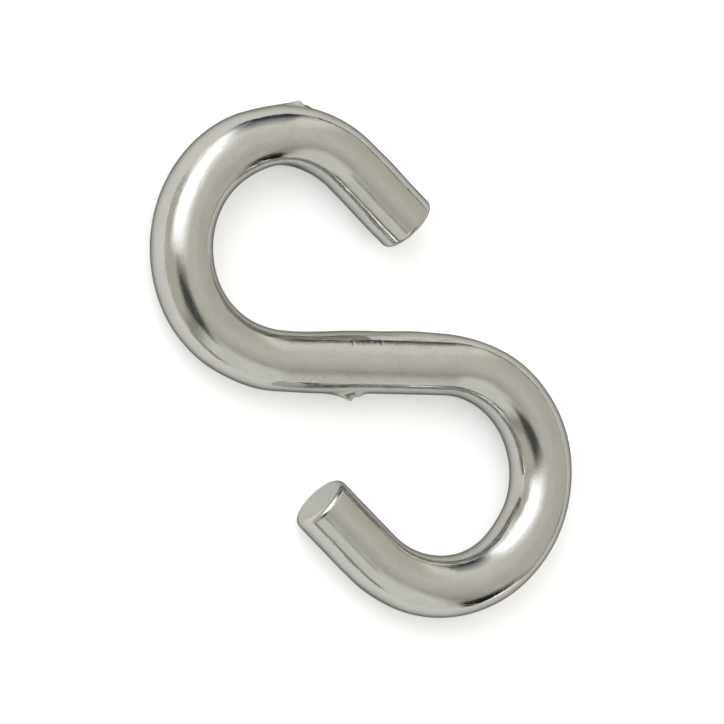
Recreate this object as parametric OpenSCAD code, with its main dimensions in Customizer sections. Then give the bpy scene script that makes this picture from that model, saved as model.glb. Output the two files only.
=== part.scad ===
// An S hook: one length of round wire with a short slanting shank, bent round
// into an open eye at each end and sheared off just past the bend.
// The hook lies flat. The eyes lie on the Y axis, one each side of the origin,
// and Z = 0 is the surface that the wire rests on.

/* [Wire] */
// Diameter of the wire
wire_d = 4.2; // [2:0.1:5.5]
// Radius of the worn edge round each sheared end
end_edge_r = 0.4; // [0.1:0.05:0.9]

/* [Eyes] */
// Clear width inside each eye
eye_d = 10.6; // [9:0.1:16]
// How far round the wire is bent to make each eye, in degrees
wrap = 221.6; // [190:0.2:226]

/* [Straights] */
// Straight length of the shank between the two bends
shank_l = 12.15; // [9:0.05:20]
// Straight length past the bend of the upper eye
upper_tip_l = 5.8; // [2:0.1:7]
// Straight length past the bend of the lower eye
lower_tip_l = 5.5; // [2:0.1:7]

/* [Grip burrs] */
// Length along the wire of the burrs that the bending jaws raised
burr_l = 2.1; // [1:0.1:3]
// Width across the head of a burr
burr_w = 0.9; // [0.6:0.05:1.4]
// Height of the burr on the shank above the wire
shank_burr_h = 0.45; // [0.2:0.05:0.5]
// Distance of that burr's head from the middle of the shank
shank_burr_x = -0.8; // [-3:0.1:3]
// Height of the burr on the upper eye above the wire
eye_burr_h = 0.35; // [0.2:0.05:0.5]
// Place of that burr's head round the bend from the shank, in degrees
eye_burr_turn = 188; // [20:1:195]

/* [Hidden] */
$fn = 96;

wire_r = wire_d / 2;
// The bends are struck on the centre line of the wire
bend_r = (eye_d + wire_d) / 2;
outer_r = bend_r + wire_r;
// The shank slants so that the centres of both eyes fall on the Y axis
shank_lean = atan2(bend_r, shank_l / 2) - 90;
// A burr's tail ends this far under the skin of the wire
burr_sink = 0.1;
burr_tail_r = 0.05;

// One end of the wire from the bend outwards, standing on Z = 0: a straight
// length with its sheared edge worn round
module sheared_end(length) {
    rotate_extrude() {
        square([wire_r, length - end_edge_r]);
        square([wire_r - end_edge_r, length]);
        translate([wire_r - end_edge_r, length - end_edge_r])
            intersection() {
                circle(r = end_edge_r);
                square(end_edge_r);
            }
    }
}

// The bend of one eye, turning clockwise from the end of the shank, and the
// straight tip past it. The shank comes in along +X and ends at the origin.
module eye(tip_l) {
    translate([0, -bend_r, 0])
        rotate([0, 0, 90 - wrap]) {
            rotate_extrude(angle = wrap)
                translate([bend_r, 0])
                    circle(d = wire_d);
            translate([bend_r, 0, 0])
                rotate([90, 0, 0])
                    sheared_end(tip_l);
        }
}

// A burr pushed up by the jaws that held the wire: a round head and a tail
// that ramps down to the skin. The skin is Z = 0 at the head, and the tail
// runs along -X, where the skin has fallen away by skin_drop.
module burr(height, skin_drop = 0) {
    head_z = height - burr_w / 2;
    tail_z = -skin_drop - burr_sink;
    tail_l = norm([burr_l, head_z - tail_z]);
    translate([0, 0, head_z]) {
        sphere(d = burr_w);
        rotate([0, -atan2(burr_l, tail_z - head_z), 0])
            cylinder(h = tail_l, r1 = burr_w / 2, r2 = burr_tail_r);
    }
}

// Places what it holds at the lower end of the shank, and looking out along it
module at_lower_end() {
    translate([shank_l / 2, 0, 0])
        children();
}

// The same at the upper end, which is the lower end turned half round
module at_upper_end() {
    rotate([0, 0, 180])
        translate([shank_l / 2, 0, 0])
            children();
}

// The whole wire: the shank through the origin along X, and an eye at each end
module bent_wire() {
    rotate([0, 90, 0])
        cylinder(h = shank_l, d = wire_d, center = true);
    at_lower_end() eye(lower_tip_l);
    at_upper_end() eye(upper_tip_l);
}

// The burr on the underside of the slanting shank
module shank_burr() {
    translate([shank_burr_x, -wire_r, 0])
        rotate([90, 0, 0])
            burr(shank_burr_h);
}

// The burr on the outside of the upper eye
module eye_burr() {
    tail_turn = burr_l / outer_r * 180 / PI;
    at_upper_end()
        translate([0, -bend_r, 0])
            rotate([0, 0, 90 - eye_burr_turn])
                translate([outer_r, 0, 0])
                    rotate([-90, 0, -90])
                        burr(eye_burr_h, outer_r * (1 - cos(tail_turn)));
}

module wire_hook() {
    color([0.76, 0.75, 0.72])
        translate([0, 0, wire_r])
            rotate([0, 0, shank_lean]) {
                bent_wire();
                shank_burr();
                eye_burr();
            }
}

wire_hook();
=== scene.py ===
# %% [markdown]
# An S hook is bent cold from one length of bright wire. Two pins turn an eye at each end, a
# short straight shank is left between them, and a shear cuts the ends off. So one rule draws
# the whole hook: walk along the wire, turn where a pin was, and carry a round section along.
#
# The packed solid is loaded first. It fixes where the hook lies and how thick the wire is,
# and everything below is measured against it.

# %% Load the solid hook
import math
import bpy
from mathutils import Matrix, Quaternion, Vector


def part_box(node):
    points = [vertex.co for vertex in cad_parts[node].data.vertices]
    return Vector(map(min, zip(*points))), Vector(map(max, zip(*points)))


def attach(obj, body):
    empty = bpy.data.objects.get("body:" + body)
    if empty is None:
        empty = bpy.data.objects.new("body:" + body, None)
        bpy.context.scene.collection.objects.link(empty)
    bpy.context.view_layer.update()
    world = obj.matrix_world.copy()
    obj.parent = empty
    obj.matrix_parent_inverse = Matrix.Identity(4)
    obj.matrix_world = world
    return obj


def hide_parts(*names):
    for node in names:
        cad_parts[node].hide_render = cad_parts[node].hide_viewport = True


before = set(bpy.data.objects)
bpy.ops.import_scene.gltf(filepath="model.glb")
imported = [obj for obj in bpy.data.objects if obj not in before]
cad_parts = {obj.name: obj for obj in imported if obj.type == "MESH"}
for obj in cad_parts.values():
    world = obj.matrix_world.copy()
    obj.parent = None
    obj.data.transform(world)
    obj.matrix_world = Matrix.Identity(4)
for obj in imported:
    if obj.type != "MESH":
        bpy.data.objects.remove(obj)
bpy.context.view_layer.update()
MM = 0.001
wire_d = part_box("wire_hook")[1].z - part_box("wire_hook")[0].z
print("wire diameter from the solid, mm:", round(wire_d / MM, 3))

# %% [markdown]
# The bend sizes are the ones that a workshop drawing gives: the clear width of an eye, how
# far the wire is turned, and the straight lengths before and after the turn. The slant of
# the shank isn't a size of its own. It is whatever puts both eyes on the line of pull, and
# the length of the whole hook is worked out from it.

# %% Sizes of the bent wire
wire_r = wire_d / 2
eye_d = 10.6 * MM
wrap = math.radians(221.6)
shank_l = 12.15 * MM
upper_tip_l = 5.8 * MM
lower_tip_l = 5.5 * MM
end_edge_r = 0.4 * MM
bend_r = (eye_d + wire_d) / 2
lean = math.atan2(bend_r, shank_l / 2) - math.pi / 2
overall = 2 * (math.hypot(bend_r, shank_l / 2) + bend_r + wire_r)

# %% [markdown]
# The hook lies flat and the camera looks down on it from 26 degrees off the plumb line, out
# over the back of the upper eye. The wire runs across the picture along the shank. A very
# long lens from nearly a metre away keeps the two eyes the same size, as a catalogue
# photograph does.

# %% Camera
look_tilt = math.radians(26.0)
look_azimuth = math.radians(140.3)
shank_droop = math.radians(1.5)
camera_distance = 0.9
picture_height = 48 * MM
to_camera = Vector((math.sin(look_tilt) * math.cos(look_azimuth),
                    math.sin(look_tilt) * math.sin(look_azimuth),
                    math.cos(look_tilt)))
shank_way = Vector((math.cos(lean), math.sin(lean), 0))
across = (shank_way - to_camera * shank_way.dot(to_camera)).normalized()
across.rotate(Quaternion(to_camera, shank_droop))
upright = to_camera.cross(across)

camera_data = bpy.data.cameras.new("camera")
camera_data.lens = camera_data.sensor_width * camera_distance / picture_height
camera = bpy.data.objects.new("camera", camera_data)
bpy.context.collection.objects.link(camera)
middle = Vector((0, 0, wire_r))
turn = Matrix((across, upright, to_camera)).transposed()
camera.matrix_world = Matrix.Translation(middle + to_camera * camera_distance) @ turn.to_4x4()
bpy.context.scene.camera = camera
bpy.context.scene.view_settings.view_transform = "Standard"
print("lens, mm:", round(camera_data.lens))

# %% [markdown]
# Shaders and Geometry Nodes do sums with Math nodes, and a formula written as nodes is hard
# to read. This small helper writes them from ordinary sums: each Amount stands for a number
# that a tree works out at every point, and adding two of them makes the node that adds.


# %% A number inside a node tree
class Amount:
    def __init__(self, tree, socket):
        self.tree = tree
        self.socket = socket

    def sum_node(self, operation, *values):
        node = self.tree.nodes.new("ShaderNodeMath")
        node.operation = operation
        for slot, value in zip(node.inputs, values):
            if isinstance(value, Amount):
                self.tree.links.new(value.socket, slot)
            else:
                slot.default_value = value
        return Amount(self.tree, node.outputs[0])

    def __add__(self, other):
        return self.sum_node("ADD", self, other)

    __radd__ = __add__

    def __sub__(self, other):
        return self.sum_node("SUBTRACT", self, other)

    def __rsub__(self, other):
        return self.sum_node("SUBTRACT", other, self)

    def __mul__(self, other):
        return self.sum_node("MULTIPLY", self, other)

    __rmul__ = __mul__

    def __truediv__(self, other):
        return self.sum_node("DIVIDE", self, other)

    def least(self, other):
        return self.sum_node("MINIMUM", self, other)

    def most(self, other):
        return self.sum_node("MAXIMUM", self, other)

    def sin(self):
        return self.sum_node("SINE", self)

    def cos(self):
        return self.sum_node("COSINE", self)

    def exp(self):
        return self.sum_node("EXPONENT", self)

    def size(self):
        return self.sum_node("ABSOLUTE", self)

    def sign(self):
        return self.sum_node("SIGN", self)

    def over(self, edge):
        return self.sum_node("GREATER_THAN", self, edge)


print("sums that an Amount knows:", [name for name in vars(Amount) if "_" not in name])

# %% [markdown]
# The skin of the wire is made as if it had been straightened: rings along a line. Each point
# keeps two numbers, how far along the skin it is and how far round, and the tree then works
# out where it belongs on the bent hook. Curve to Mesh could sweep the bent path directly,
# but then the worn edge, the marks and the drawn grain would each need a way to find their
# place. With the two numbers kept, each of them is a short formula.

# %% Tree: its inputs
tree = bpy.data.node_groups.new("Bent wire", "GeometryNodeTree")
sizes = {
    "Wire radius": wire_r,
    "Bend radius": bend_r,
    "Wrap": wrap,
    "Shank length": shank_l,
    "Upper tip length": upper_tip_l,
    "Lower tip length": lower_tip_l,
    "Edge radius": end_edge_r,
    "Lean": lean,
    "Ring spacing": 0.2 * MM,
}
for size_name in sizes:
    tree.interface.new_socket(name=size_name, in_out="INPUT", socket_type="NodeSocketFloat")
tree.interface.new_socket(name="Sides", in_out="INPUT", socket_type="NodeSocketInt")
tree.interface.new_socket(name="Metal", in_out="INPUT", socket_type="NodeSocketMaterial")
tree.interface.new_socket(name="Wire", in_out="OUTPUT", socket_type="NodeSocketGeometry")
group_in = tree.nodes.new("NodeGroupInput")
group_out = tree.nodes.new("NodeGroupOutput")


def given(name):
    return Amount(tree, group_in.outputs[name])


def node_of(kind, links=None, values=None, **settings):
    node = tree.nodes.new(kind)
    for key, value in settings.items():
        setattr(node, key, value)
    for key, value in (values or {}).items():
        node.inputs[key].default_value = value
    for key, value in (links or {}).items():
        tree.links.new(value.socket if isinstance(value, Amount) else value, node.inputs[key])
    return node


wire_radius = given("Wire radius")
bend_radius = given("Bend radius")
full_turn = given("Wrap")
half_shank = given("Shank length") / 2
edge_radius = given("Edge radius")
print("inputs:", [item.name for item in tree.interface.items_tree if item.in_out == "INPUT"])

# %% [markdown]
# The straightened wire is longer than the hook's own path, because its skin also runs over
# the sheared ends. Past the straight it rounds the edge by a quarter turn and closes in over
# the flat face to a single point. A cap made as a piece of its own would leave a seam there.

# %% Tree: the straightened line
quarter = edge_radius * (math.pi / 2)
bent_reach = half_shank + bend_radius * full_turn
lower_reach = bent_reach + given("Lower tip length")
upper_reach = bent_reach + given("Upper tip length")
over_the_end = quarter + wire_radius - edge_radius * 2
line_start = node_of("ShaderNodeCombineXYZ", {"X": (upper_reach + over_the_end) * -1})
line_stop = node_of("ShaderNodeCombineXYZ", {"X": lower_reach + over_the_end})
line = node_of("GeometryNodeCurvePrimitiveLine",
               {"Start": line_start.outputs[0], "End": line_stop.outputs[0]})
rings = node_of("GeometryNodeResampleCurve", {"Curve": line.outputs[0],
                "Length": given("Ring spacing")}, mode="LENGTH")
place = node_of("GeometryNodeInputPosition")
place_x = node_of("ShaderNodeSeparateXYZ", {0: place.outputs[0]})
along_line = Amount(tree, place_x.outputs[0])
wire_l = shank_l + 2 * bend_r * wrap + upper_tip_l + lower_tip_l
print("wire in the hook, mm:", round(wire_l / MM, 1))

# %% [markdown]
# A ring every 0.2 mm is plenty for a smooth bend, but the worn edge is only 0.4 mm round and
# a burr is steep. So the line is cut finer near them, and nowhere else, which keeps the
# whole skin under the number of triangles that a model like this can afford.

# %% Tree: finer rings where the shape is tight
shank_burr_at = -0.8 * MM
eye_burr_turn = math.radians(188)
eye_burr_at = -(shank_l / 2 + bend_r * eye_burr_turn)
burr_l = 2.1 * MM


def near(amount, centre, reach):
    return 1 - (amount - centre).size().over(reach)


at_end = (along_line.over(lower_reach - edge_radius * 3)
          + 1 - along_line.over((upper_reach - edge_radius * 3) * -1)).least(1)
at_burr = (near(along_line, shank_burr_at - burr_l / 4, burr_l)
           + near(along_line, eye_burr_at + burr_l / 4, burr_l)).least(1)
cuts = at_end * 3 + at_burr * 2
finer = node_of("GeometryNodeSubdivideCurve", {"Curve": rings.outputs[0], "Cuts": cuts})
print("burr on the eye, mm of wire from the middle:", round(eye_burr_at / MM, 2))

# %% [markdown]
# Curve to Mesh passes attributes of both curves on to the mesh. The line carries the place
# along the wire, and the circle carries the angle round it, so every point of the skin ends
# up with both.

# %% Tree: the skin and its two numbers
kept_along = node_of("GeometryNodeStoreNamedAttribute",
                     {"Geometry": finer.outputs[0], "Value": along_line},
                     {"Name": "along"}, data_type="FLOAT", domain="POINT")
loop = node_of("GeometryNodeCurvePrimitiveCircle",
               {"Resolution": group_in.outputs["Sides"], "Radius": wire_radius}, mode="RADIUS")
which = node_of("GeometryNodeInputIndex")
share = Amount(tree, which.outputs[0]) / given("Sides")
kept_round = node_of("GeometryNodeStoreNamedAttribute",
                     {"Geometry": loop.outputs[0], "Value": share * math.tau},
                     {"Name": "round"}, data_type="FLOAT", domain="POINT")
skin = node_of("GeometryNodeCurveToMesh",
               {"Curve": kept_along.outputs[0], "Profile Curve": kept_round.outputs[0]})
along_node = node_of("GeometryNodeInputNamedAttribute", None, {"Name": "along"}, data_type="FLOAT")
round_node = node_of("GeometryNodeInputNamedAttribute", None, {"Name": "round"}, data_type="FLOAT")
along = Amount(tree, along_node.outputs[0])
angle = Amount(tree, round_node.outputs[0])
print("nodes so far:", len(tree.nodes))

# %% [markdown]
# Both halves of the wire are alike up to the tips, so one set of sums serves both. It counts
# from the middle of the shank outwards and keeps the side apart as plus or minus one. Near
# an end, the walk along the wire slows down and the ring shrinks, first over the worn edge
# and then over the face.

# %% Tree: where on the wire a point is
side = along.sign()
to_lower = (side + 1) / 2
reach = lower_reach * to_lower + upper_reach * (1 - to_lower)
straight_end = reach - edge_radius
past = (along.size() - straight_end).most(0)
edge_turn = (past / edge_radius).least(math.pi / 2)
over_face = (past - quarter).most(0)
walked = along.size().least(straight_end) + edge_radius * edge_turn.sin()
ring_radius = wire_radius - edge_radius * (1 - edge_turn.cos()) - over_face
on_path = walked * side
print("nodes so far:", len(tree.nodes))

# %% [markdown]
# The marks are the hook's own. Jaws held the shank while the pins turned the eyes. They
# raised a burr on its underside, left a row of tooth marks on its upper side, and raised
# another burr on the back of the upper eye. A burr ramps up from the skin and breaks off
# steeply, so it is a sum of a ramp on one side and a steep bell on the other. Sculpting
# them by hand would look as good, but a formula gives the same burr every time.

# %% Tree: the shapes of a mark
burr_drop_l = 0.2 * MM
jaw_side = 180


def bell(amount, spread):
    return (amount * amount * (-1 / spread ** 2)).exp()


def round_bell(centre, spread):
    return (((angle - math.radians(centre)).cos() - 1) * (2 / spread ** 2)).exp()


def spot(at, around, height, spread, round_spread):
    return bell(on_path - at, spread) * round_bell(around, round_spread) * height


def burr(at, ramp_way, length, height, half_width):
    ahead = (on_path - at) * ramp_way
    climb = ((length - ahead) / length).most(0).least(1)
    ramp = climb * climb * ahead.over(0)
    drop = bell(ahead.least(0), burr_drop_l) * (1 - ahead.over(0))
    return (ramp + drop) * round_bell(jaw_side, half_width) * height


print("a burr is", round(burr_l / MM, 1), "mm long")

# %% Tree: burrs and tooth marks
eye_burr_head = eye_burr_at + 0.3 * MM
first_tooth_at = -1.47 * MM
tooth_pitch = 0.426 * MM
tooth_count = 6
tooth_side = 49
raised = burr(shank_burr_at, ramp_way=-1, length=burr_l, height=0.5 * MM, half_width=0.22)
raised = raised + spot(-0.25 * MM, around=178, height=0.24 * MM, spread=0.34 * MM,
                       round_spread=0.2)
raised = raised + burr(eye_burr_head, ramp_way=1, length=burr_l * 0.8, height=0.36 * MM,
                       half_width=0.16)
raised = raised + spot(-30.5 * MM, around=183, height=0.16 * MM, spread=0.22 * MM,
                       round_spread=0.14)
raised = raised + spot(-29 * MM, around=93, height=-0.02 * MM, spread=0.22 * MM,
                       round_spread=0.1)
for tooth in range(tooth_count):
    tooth_height = 0.012 * MM if tooth in (0, tooth_count - 1) else 0.002 * MM
    raised = raised + spot(first_tooth_at + tooth * tooth_pitch, tooth_side, tooth_height,
                           spread=0.07 * MM, round_spread=0.16)
print("tooth marks:", tooth_count, "nodes so far:", len(tree.nodes))

# %% [markdown]
# Cold bending also leaves the wire a little thick and thin: it flattens where a pin pressed
# on it and swells beside that. These hollows and swellings are a tenth of a millimetre or
# so, and a mirror shows them, because the streaks of light bend where the skin does. Each
# row gives the place along the wire in millimetres from the middle of the shank, the side
# as seen on a walk from the upper end to the lower, the height, and how far it spreads. Most
# heights were read off the photograph's outline, set against that of a plain wire. The radius
# of the whole wire is 0.02 mm smaller for them, so that the skin stays in the solid's box.

# %% Tree: hollows and swellings
left, right = 4, 180
hollows = [
    (-38.5, left, 0.05, 1.2), (-36.5, right, 0.05, 1.0), (-29.0, left, -0.16, 2.2),
    (-27.5, right, -0.07, 1.0), (-24.5, right, 0.02, 2.4), (-18.0, left, 0.06, 3.4),
    (-13.5, right, 0.04, 1.4), (-9.0, right, -0.07, 1.4), (-4.5, left, -0.17, 2.4),
    (-3.0, right, 0.08, 2.6), (3.5, left, 0.06, 1.4), (8.0, left, -0.14, 2.0),
    (15.5, left, 0.09, 2.4), (22.0, right, 0.09, 1.6), (22.0, left, -0.05, 2.6),
    (26.5, right, -0.05, 2.2), (33.0, left, -0.06, 1.4), (36.0, left, 0.04, 1.0),
]
for at, around, height, spread in hollows:
    round_spread = 0.42 if around == left else 0.6
    raised = raised + spot(at * MM, around, height * MM, spread * MM, round_spread)
ripple_rate = 0.33 / MM
ripple_place = node_of("ShaderNodeCombineXYZ", {"X": on_path * ripple_rate, "Y": angle.cos(),
                       "Z": angle.sin()})
ripple = node_of("ShaderNodeTexNoise", {"Vector": ripple_place.outputs[0]},
                 {"Scale": 1.3, "Detail": 1.0})
ripple_height = 0.024 * MM
thinner = 0.02 * MM
raised = raised + (Amount(tree, ripple.outputs[0]) - 0.5) * ripple_height - thinner
fades_at_end = 1 - (past / quarter).least(1)
ring_radius = ring_radius + raised * fades_at_end
print("hollows and swellings:", len(hollows), "nodes so far:", len(tree.nodes))

# %% [markdown]
# The path is a straight, a circular bend and a straight again. Sines and cosines of the
# angle already turned give the centre of each ring and the way it faces, so the sections
# stay round all through the bend. The last two sums lean the hook over, until both eyes are
# on the line of pull, and set it down on the floor.

# %% Tree: the bend
shank_part = walked.least(half_shank)
turned = ((walked - half_shank) / bend_radius).most(0).least(full_turn)
tip_part = (walked - bent_reach).most(0)
path_x = side * (shank_part + bend_radius * turned.sin() + tip_part * turned.cos())
path_y = side * -1 * (bend_radius * (1 - turned.cos()) + tip_part * turned.sin())
outward = ring_radius * angle.cos()
lifted = wire_radius + ring_radius * angle.sin()
flat_x = path_x + outward * turned.sin()
flat_y = path_y + outward * turned.cos()
lean_cos = given("Lean").cos()
lean_sin = given("Lean").sin()
bent = node_of("ShaderNodeCombineXYZ", {"X": flat_x * lean_cos - flat_y * lean_sin,
               "Y": flat_x * lean_sin + flat_y * lean_cos, "Z": lifted.most(0)})
print("nodes so far:", len(tree.nodes))

# %% [markdown]
# Before the points move, each keeps its place on the straightened wire and how far its metal
# is torn, as it is on a sheared face and on the head of a burr. The material reads both, so
# drawn grain follows every bend and torn metal stays dull. Merge by Distance then closes the
# faces at their middle.

# %% Tree: keep the straightened place, bend and close the skin
straight_place = node_of("ShaderNodeCombineXYZ", {"X": on_path, "Y": ring_radius * angle.cos(),
                         "Z": ring_radius * angle.sin()})
with_place = node_of("GeometryNodeStoreNamedAttribute",
                     {"Geometry": skin.outputs[0], "Value": straight_place.outputs[0]},
                     {"Name": "straight_place"}, data_type="FLOAT_VECTOR", domain="POINT")
head_spread = 0.3 * MM
burr_heads = (bell(on_path - shank_burr_at, head_spread)
              + bell(on_path - eye_burr_head, head_spread)) * round_bell(jaw_side, 0.25)
torn_metal = (((past / quarter - 0.6) / 0.4).most(0) + burr_heads).least(1)
with_torn = node_of("GeometryNodeStoreNamedAttribute",
                    {"Geometry": with_place.outputs[0], "Value": torn_metal},
                    {"Name": "torn"}, data_type="FLOAT", domain="POINT")
moved = node_of("GeometryNodeSetPosition",
                {"Geometry": with_torn.outputs[0], "Position": bent.outputs[0]})
closed = node_of("GeometryNodeMergeByDistance", {"Geometry": moved.outputs[0]},
                 {"Distance": 0.0001 * MM})
smooth = node_of("GeometryNodeSetShadeSmooth", {"Geometry": closed.outputs[0]})
real = node_of("GeometryNodeRealizeInstances", {"Geometry": smooth.outputs[0]})
dressed = node_of("GeometryNodeSetMaterial", {"Geometry": real.outputs[0],
                  "Material": group_in.outputs["Metal"]})
tree.links.new(dressed.outputs[0], group_out.inputs["Wire"])
print("nodes in the tree:", len(tree.nodes))

# %% [markdown]
# The wire was drawn through a die, plated bright and then tumbled with others. Bright metal
# needs Metallic at 1, a base colour for how much it mirrors, and a darker Specular Tint,
# which takes the shine off the rims, where real plating mirrors less than a clean metal.
#
# The grain is noise with three sizes of its own, in millimetres on the straightened wire:
# along it, across it and up. A shift keeps one kind of grain from lining up with another.
# An image would need a seam somewhere, and noise has none.

# %% Bright wire: the shader and its grain
metal = bpy.data.materials.new("bright_wire")
metal.use_nodes = True
metal_tree = metal.node_tree
shader = metal_tree.nodes["Principled BSDF"]
shader.inputs["Metallic"].default_value = 1.0
shader.inputs["Specular Tint"].default_value = (0.28, 0.27, 0.25, 1)
own_place = metal_tree.nodes.new("ShaderNodeAttribute")
own_place.attribute_name = "straight_place"
own_torn = metal_tree.nodes.new("ShaderNodeAttribute")
own_torn.attribute_name = "torn"
torn = Amount(metal_tree, own_torn.outputs["Fac"])


def grain(along_size, across_size, up_size, detail, shift, rough=0.5):
    stretch = metal_tree.nodes.new("ShaderNodeMapping")
    stretch.inputs["Location"].default_value = (shift, shift, shift)
    stretch.inputs["Scale"].default_value = (1 / (along_size * MM), 1 / (across_size * MM),
                                             1 / (up_size * MM))
    metal_tree.links.new(own_place.outputs["Vector"], stretch.inputs["Vector"])
    noise = metal_tree.nodes.new("ShaderNodeTexNoise")
    noise.inputs["Scale"].default_value = 1.0
    noise.inputs["Detail"].default_value = detail
    noise.inputs["Roughness"].default_value = rough
    metal_tree.links.new(stretch.outputs[0], noise.inputs["Vector"])
    return Amount(metal_tree, noise.outputs[0])


print("metallic:", shader.inputs["Metallic"].default_value)

# %% [markdown]
# Drawing leaves fine lines along the wire, plating rounds them off into a faint orange peel,
# and tumbling adds scratches every way. All of them are relief of a few thousandths of a
# millimetre. They are given to the shader as relief too, because a colour would not
# break up the streaks of light. The sheared faces have coarser lines, the way the blade went.

# %% Bright wire: relief
drawn_lines = grain(2.4, 0.09, 0.09, detail=2, shift=0.0)
peel = grain(0.55, 0.4, 0.4, detail=2, shift=7.3)
scuffs = grain(0.3, 0.14, 0.14, detail=3, shift=3.1)
scratch_along = (grain(0.9, 0.07, 0.07, detail=1, shift=2.2, rough=0.3) - 0.62).most(0)
scratch_across = (grain(0.07, 0.6, 0.6, detail=1, shift=6.4, rough=0.3) - 0.66).most(0)
wire_relief = (drawn_lines * 0.0018 + peel * 0.0034 + scuffs * 0.0018
               - scratch_along * 0.018 - scratch_across * 0.005) * MM
blade_lines = grain(0.5, 0.13, 1.6, detail=3, shift=1.7)
blade_tears = grain(0.5, 0.35, 0.35, detail=4, shift=4.9)
torn_relief = (blade_lines * 0.02 + blade_tears * 0.02) * MM
relief = wire_relief * (1 - torn) + torn_relief * torn
bump = metal_tree.nodes.new("ShaderNodeBump")
bump.inputs["Strength"].default_value = 1.0
bump.inputs["Distance"].default_value = 1.0
metal_tree.links.new(relief.socket, bump.inputs["Height"])
metal_tree.links.new(bump.outputs[0], shader.inputs["Normal"])
print("nodes in the metal:", len(metal_tree.nodes))

# %% [markdown]
# Plating isn't even. Handling has dulled it in patches, and it is greyer in clouds and in
# fine specks. The dull patches go to Roughness, which blurs the reflection there. The clouds
# and specks go to Base Color, between a darker and a paler tone of the same metal. The torn
# metal of the ends scatters light, so it is rougher and paler.


# %% Bright wire: gloss and tone
def colour_mix(factor, darker, paler):
    mix = metal_tree.nodes.new("ShaderNodeMix")
    mix.data_type = "RGBA"
    metal_tree.links.new(factor.socket, mix.inputs["Factor"])
    for value, slot in ((darker, mix.inputs[6]), (paler, mix.inputs[7])):
        if isinstance(value, tuple):
            slot.default_value = (*value, 1)
        else:
            metal_tree.links.new(value, slot)
    return mix.outputs[2]


dulled = (grain(3.0, 1.1, 1.1, detail=3, shift=5.5) - 0.4).most(0)
roughness = 0.05 + dulled * 0.3 + torn * 0.34
metal_tree.links.new(roughness.socket, shader.inputs["Roughness"])
clouds = grain(1.6, 0.8, 0.8, detail=3, shift=9.1)
specks = grain(0.16, 0.12, 0.12, detail=2, shift=8.2)
greyer, brighter, torn_tone = (0.48, 0.47, 0.44), (0.57, 0.57, 0.545), (0.67, 0.67, 0.64)
plated = colour_mix(clouds + specks * 0.9 - 0.45, greyer, brighter)
finish = colour_mix(torn, plated, torn_tone)
metal_tree.links.new(finish, shader.inputs["Base Color"])
print("nodes in the metal:", len(metal_tree.nodes))

# %% [markdown]
# The tree is put on an empty object as a modifier and given its sizes. Each input is set by
# the identifier of its socket, because a modifier doesn't know the names. The evaluated
# result is then kept as a plain mesh, and the modifier goes, so that what follows handles
# the same mesh that is seen.

# %% Grow the hook
hook = bpy.data.objects.new("bent_wire", bpy.data.meshes.new("bent_wire"))
bpy.context.collection.objects.link(hook)
grow = hook.modifiers.new("Bent wire", "NODES")
grow.node_group = tree
values = dict(sizes, Sides=128, Metal=metal)
for item in tree.interface.items_tree:
    if item.in_out == "INPUT":
        grow[item.identifier] = values[item.name]
depsgraph = bpy.context.evaluated_depsgraph_get()
grown = bpy.data.meshes.new_from_object(hook.evaluated_get(depsgraph), depsgraph=depsgraph)
hook.modifiers.clear()
hook.data = grown
hook.data.name = "bent_wire"
triangles = sum(len(face.vertices) - 2 for face in grown.polygons)
print("points:", len(grown.vertices), "triangles:", triangles)

# %% [markdown]
# A closed skin with its faces outwards has a positive volume. The sum over its triangles
# says so. It is also set against the solid's, because the two are the same piece of wire.


# %% Check the skin
def volume_inside(mesh):
    mesh.calc_loop_triangles()
    total = 0.0
    for triangle in mesh.loop_triangles:
        first, second, third = (mesh.vertices[corner].co for corner in triangle.vertices)
        total += first.dot(second.cross(third)) / 6
    return total


if volume_inside(grown) < 0:
    grown.flip_normals()
print("cubic mm in the skin:", round(volume_inside(grown) / MM ** 3, 1), "in the solid:",
      round(volume_inside(bpy.data.objects["wire_hook"].data) / MM ** 3, 1))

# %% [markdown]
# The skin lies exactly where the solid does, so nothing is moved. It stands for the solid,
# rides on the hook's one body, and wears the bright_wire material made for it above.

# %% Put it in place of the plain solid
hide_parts("wire_hook")
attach(hook, "root")
print("skin:", hook.name, "in the slot bright_wire")

# %% [markdown]
# The hook lies on a large sheet of white paper. The room lights it at a plain level, so its
# own colour does most of the work. A weak glow takes it the rest of the way to white without
# more light on the metal. Light Path lets only the camera, mirrors and glass see that glow.
# The metal gets enough of it to mirror a white sheet. The camera and glass get more
# of it, which lifts the outer part of the soft shadow and leaves the part near the hook.

# %% Paper floor
floor_half = 3.0
floor_corners = [(-floor_half, -floor_half, 0), (floor_half, -floor_half, 0),
                 (floor_half, floor_half, 0), (-floor_half, floor_half, 0)]
floor_mesh = bpy.data.meshes.new("floor")
floor_mesh.from_pydata(floor_corners, [], [(0, 1, 2, 3)])
floor = bpy.data.objects.new("floor", floor_mesh)
bpy.context.collection.objects.link(floor)
paper = bpy.data.materials.new("paper")
paper.use_nodes = True
paper_tree = paper.node_tree
paper_shader = paper_tree.nodes["Principled BSDF"]
paper_shader.inputs["Base Color"].default_value = (0.9, 0.9, 0.9, 1)
paper_shader.inputs["Roughness"].default_value = 1.0
paper_shader.inputs["Specular IOR Level"].default_value = 0.0
light_path = paper_tree.nodes.new("ShaderNodeLightPath")
seen = (Amount(paper_tree, light_path.outputs["Is Camera Ray"])
        + Amount(paper_tree, light_path.outputs["Is Transmission Ray"]))
mirrored = Amount(paper_tree, light_path.outputs["Is Glossy Ray"])
paper_glow = 0.3
mirrored_glow = 0.11
glow = seen * paper_glow + mirrored * mirrored_glow
paper_shader.inputs["Emission Color"].default_value = (1, 1, 1, 1)
paper_tree.links.new(glow.socket, paper_shader.inputs["Emission Strength"])
floor_mesh.materials.append(paper)
print("paper glow:", paper_glow)

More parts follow.
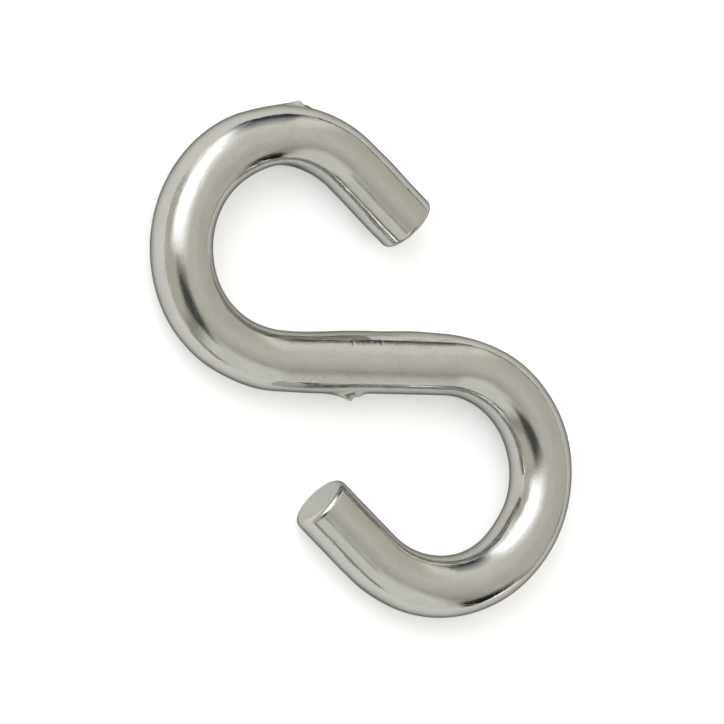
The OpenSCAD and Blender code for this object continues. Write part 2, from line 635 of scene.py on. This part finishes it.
# %% [markdown]
# Bright wire has hardly a colour of its own: what is seen on it is the room. The streaks on
# the bends say what that room was, because each point of a round wire looks one way. A large
# soft light hung over the left back corner of the table. A dark gap beside it, a dark doorway
# behind and a dark corner at the front right make the black streaks. The rest is pale wall.
#
# So the room is built from flat cards round the hook, each with soft edges. A hanging card is
# a metre above the table, and a standing card is a metre away. Their edges are given in metres
# on the card, measured from the shank's own direction, and later cards cover earlier ones.
# Real lamps and boards would do as well, but each would have to be moved, sized and softened
# on its own to land on the right bend.

# %% A room made of cards
world = bpy.data.worlds.new("studio")
bpy.context.scene.world = world
world.use_nodes = True
nodes = world.node_tree.nodes
links = world.node_tree.links
ray = nodes.new("ShaderNodeTexCoord")
along_shank = Matrix.Rotation(lean, 3, "Z")


def toward(way):
    node = nodes.new("ShaderNodeVectorMath")
    node.operation = "DOT_PRODUCT"
    links.new(ray.outputs["Generated"], node.inputs[0])
    node.inputs[1].default_value = along_shank @ Vector(way)
    return Amount(world.node_tree, node.outputs["Value"])


def fade(amount, edge_at, softness):
    step = nodes.new("ShaderNodeMapRange")
    step.interpolation_type = "SMOOTHSTEP"
    links.new(amount.socket, step.inputs["Value"])
    step.inputs["From Min"].default_value = edge_at - softness / 2
    step.inputs["From Max"].default_value = edge_at + softness / 2
    return Amount(world.node_tree, step.outputs[0])


def card(room, ways, wide, wide_soft, high, high_soft, colour):
    ahead, sideways, upwards = (toward(way) for way in ways)
    cover = ahead.over(0)
    for amount, edges, soft in ((sideways, wide, wide_soft), (upwards, high, high_soft)):
        spot_on_card = amount / ahead.most(0.001)
        cover = cover * fade(spot_on_card, edges[0], soft[0])
        cover = cover * (1 - fade(spot_on_card, edges[1], soft[1]))
    mix = nodes.new("ShaderNodeMix")
    mix.data_type = "RGBA"
    links.new(cover.socket, mix.inputs["Factor"])
    links.new(room, mix.inputs[6])
    mix.inputs[7].default_value = (*colour, 1)
    return mix.outputs[2]


def standing(room, facing, wide, wide_soft, top, top_soft, colour):
    turn = math.radians(facing)
    ways = ((math.cos(turn), math.sin(turn), 0), (-math.sin(turn), math.cos(turn), 0), (0, 0, 1))
    return card(room, ways, wide, wide_soft, (-0.3, top), (0.1, top_soft), colour)


def hanging(room, wide, wide_soft, deep, deep_soft, colour):
    ways = ((0, 0, 1), (1, 0, 0), (0, 1, 0))
    return card(room, ways, wide, wide_soft, deep, deep_soft, colour)


print("the room is turned", round(math.degrees(lean), 1), "degrees, as the shank is")

# %% [markdown]
# The walls make the long even bands of the metal. The ceiling is pale and falls into shade at
# the front, away from the light. Four boards stand round the table as the walls of a room do.
# The back one is the brightest, since the light hangs there, and the left one is the darkest.

# %% The walls
ceiling = nodes.new("ShaderNodeRGB")
ceiling.outputs[0].default_value = (0.90, 0.89, 0.83, 1)
room = ceiling.outputs[0]
room = hanging(room, wide=(-5.0, 5.0), wide_soft=(2.0, 2.0), deep=(-6.0, -0.4),
               deep_soft=(2.0, 1.8), colour=(0.45, 0.44, 0.40))
room = standing(room, 90, wide=(-1.5, 1.5), wide_soft=(1.5, 1.5), top=1.0, top_soft=2.0,
                colour=(1.10, 1.08, 1.00))
room = standing(room, 180, wide=(-1.0, 1.0), wide_soft=(0.5, 0.5), top=0.8, top_soft=0.4,
                colour=(0.70, 0.69, 0.61))
room = standing(room, 0, wide=(-1.0, 1.0), wide_soft=(0.5, 0.5), top=1.5, top_soft=2.0,
                colour=(0.72, 0.71, 0.64))
room = standing(room, -90, wide=(-0.5, 0.6), wide_soft=(0.4, 0.4), top=1.4, top_soft=1.0,
                colour=(0.95, 0.95, 0.93))
print("nodes in the room:", len(nodes))

# %% [markdown]
# One soft light makes the broad white streaks. It is a hanging card with a brighter heart
# and very soft outer edges, because a sharp one would cut the streaks off like a window.

# %% The soft light
room = hanging(room, wide=(-1.7, -0.2), wide_soft=(2.0, 0.7), deep=(0.0, 5.0),
               deep_soft=(0.4, 3.0), colour=(2.0, 2.0, 2.1))
room = hanging(room, wide=(-1.4, -0.4), wide_soft=(0.6, 0.3), deep=(0.3, 1.6),
               deep_soft=(0.3, 0.6), colour=(3.8, 3.8, 3.9))
print("nodes in the room:", len(nodes))

# %% [markdown]
# Black streaks on bright wire are openings and dark things in the room. The gap beside the
# light gives the streak on the left limb, the doorway behind gives the line along the shank
# and the streak on the top of the upper eye, and the corner at the front right gives those
# of the lower eye. Low boards, dark and bright, finish the rims of the bends.

# %% The dark gaps and low boards
room = hanging(room, wide=(-1.0, -0.2), wide_soft=(0.6, 0.3), deep=(-1.0, -0.2),
               deep_soft=(0.4, 0.4), colour=(0.1, 0.1, 0.1))
room = standing(room, 80, wide=(-0.3, 0.3), wide_soft=(0.1, 0.4), top=0.6, top_soft=0.8,
                colour=(0.26, 0.28, 0.32))
room = standing(room, 75, wide=(-0.3, 0.3), wide_soft=(0.4, 0.3), top=0.25, top_soft=0.3,
                colour=(0.06, 0.06, 0.06))
room = standing(room, 50, wide=(-0.55, 0.5), wide_soft=(0.2, 0.2), top=0.07, top_soft=0.08,
                colour=(0.05, 0.05, 0.05))
room = standing(room, -45, wide=(-0.2, 0.2), wide_soft=(0.1, 0.3), top=0.45, top_soft=0.3,
                colour=(0.02, 0.02, 0.02))
room = standing(room, -20, wide=(-0.25, 0.25), wide_soft=(0.1, 0.15), top=0.05, top_soft=0.1,
                colour=(0.06, 0.06, 0.06))
room = standing(room, -40, wide=(-0.12, 0.12), wide_soft=(0.1, 0.08), top=0.05, top_soft=0.04,
                colour=(3.2, 3.2, 3.2))
room = standing(room, -110, wide=(-0.3, 0.2), wide_soft=(0.2, 0.2), top=0.17, top_soft=0.1,
                colour=(0.42, 0.41, 0.38))
links.new(room, nodes["Background"].inputs["Color"])
print("nodes in the room:", len(nodes))

# %% [markdown]
# The skin has to stay inside the solid's box, because the solid is what a hole or a chain
# link is tried on.
